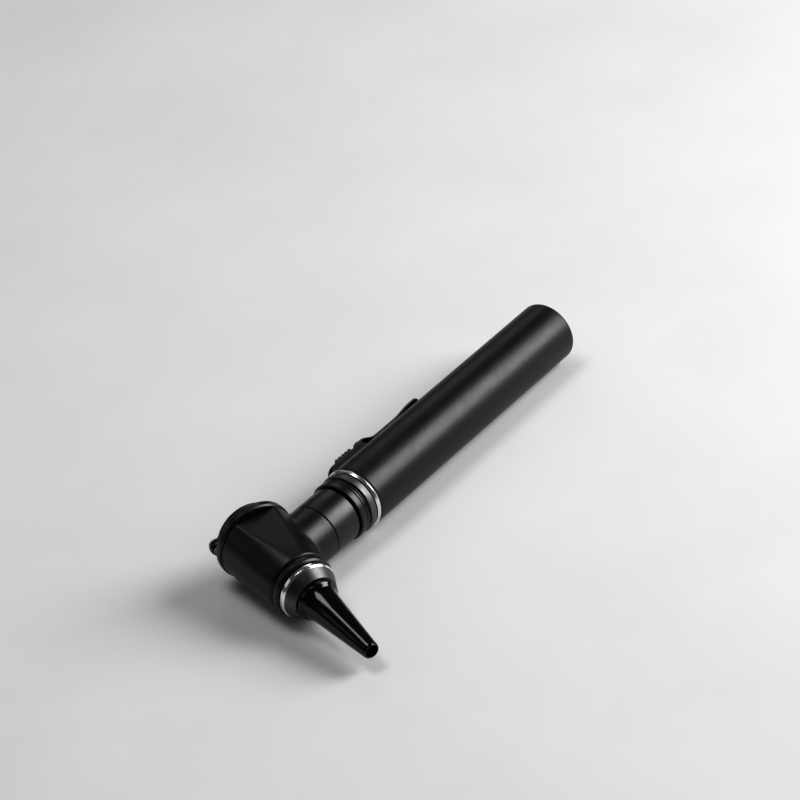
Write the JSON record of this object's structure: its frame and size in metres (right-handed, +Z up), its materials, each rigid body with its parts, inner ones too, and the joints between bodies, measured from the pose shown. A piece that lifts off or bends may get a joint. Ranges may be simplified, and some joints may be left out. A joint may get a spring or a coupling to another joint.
{
  "type": "otoscope",
  "caption": "Pocket otoscope lying on its side: round battery handle with slide switch and pocket clip, screwed-on head with swivel lens and push-on ear speculum.",
  "frame": {"origin": "on the surface that it lies on, under the middle of its bounding box", "axes": "+X along the handle from the head to the plain end, -Y the side that the speculum points to, +Y the side of the lens, switch and clip, +Z up"},
  "size_m": [0.1562, 0.0682, 0.0254],
  "materials": {
    "handle_black": "satin black moulding with a fine even grain",
    "switch_black": "fine grained black moulding",
    "slider_black": "ribbed black moulding, polished on the crests by use",
    "clip_black": "black lacquered spring strip",
    "ring_black": "half-gloss black, turned",
    "neck_black": "glossy black",
    "head_black": "matt black moulding",
    "tube_black": "dead black inside the head",
    "speculum_black": "glossy black reusable speculum",
    "lens_frame_black": "half-gloss black",
    "chrome": "bright chrome plate",
    "satin_metal": "satin turned metal",
    "nickel": "nickel-plated brass, threaded",
    "brass": "bare brass",
    "spring_steel": "bright spring steel",
    "insulator": "natural nylon",
    "cell_jacket": "printed film over the can of an AA cell, plain",
    "fibre": "bundled optical fibre",
    "lamp_glass": "clear lamp glass",
    "lens_glass": "clear polished lens"
  },
  "bodies": {
    "handle": {"handle_tube": "handle_black", "mouth_ferrule": "chrome", "cell_rear": "cell_jacket", "cell_front": "cell_jacket", "tail_spring": "spring_steel", "spring_cup": "brass", "contact_strip": "brass", "switch_housing": "switch_black", "clip_foot": "clip_black", "clip_rivet_upper": "spring_steel", "clip_rivet_lower": "spring_steel"},
    "clip": {"clip_arm": "clip_black"},
    "switch": {"switch_slider": "slider_black", "switch_contact": "brass"},
    "seal_ring": {"satin_ring": "satin_metal"},
    "head": {"spigot": "nickel", "grip_ring": "ring_black", "neck_sleeve": "neck_black", "neck_screw": "spring_steel", "lamp_bulb": "lamp_glass", "lamp_base": "brass", "lamp_holder": "insulator", "contact_pin": "brass", "contact_spring": "spring_steel", "head_shell": "head_black", "speculum_holder": "chrome", "light_ring": "fibre", "sight_tube": "tube_black", "fibre_bundle": "fibre", "front_collar": "ring_black", "eyepiece_rim": "ring_black", "lens_washer": "spring_steel", "pivot_screw": "spring_steel"},
    "lens": {"lens_frame": "lens_frame_black", "lens": "lens_glass", "lens_retainer": "satin_metal"},
    "speculum": {"speculum": "speculum_black"}
  },
  "joints": [
    {"name": "switch_slide", "type": "slide", "parent": "handle", "child": "switch", "axis": [-1, 0, 0.0087], "range_m": [0, 0.004]},
    {"name": "clip_flex", "type": "hinge", "parent": "handle", "child": "clip", "pos_m": [-0.00373, 0.02478, 0.01225], "axis": [0.0087, -0.1097, 0.9939], "range_deg": [0, 7], "stiffness_Nm_per_rad": 1.3},
    {"name": "head_lift", "type": "slide", "parent": "handle", "child": "seal_ring", "axis": [-1, 0, 0.0087], "range_m": [0, 0.0061]},
    {"name": "head_turn", "type": "hinge", "parent": "seal_ring", "child": "head", "pos_m": [-0.06044, 0.01196, 0.01133], "axis": [-1, 0, 0.0087], "range_deg": [0, 1440]},
    {"name": "lens_swing", "type": "hinge", "parent": "head", "child": "lens", "pos_m": [-0.07049, 0.0153, 0.01178], "axis": [-0.3182, -0.9426, -0.1013], "range_deg": [0, 120]},
    {"name": "speculum_pull", "type": "slide", "parent": "head", "child": "speculum", "axis": [-0.3182, -0.9426, -0.1013], "range_m": [0, 0.01]}
  ],
  "couplings": [
    {"joint": "head_lift", "follows": "head_turn", "m_per_rad": 0.00023873}
  ]
}
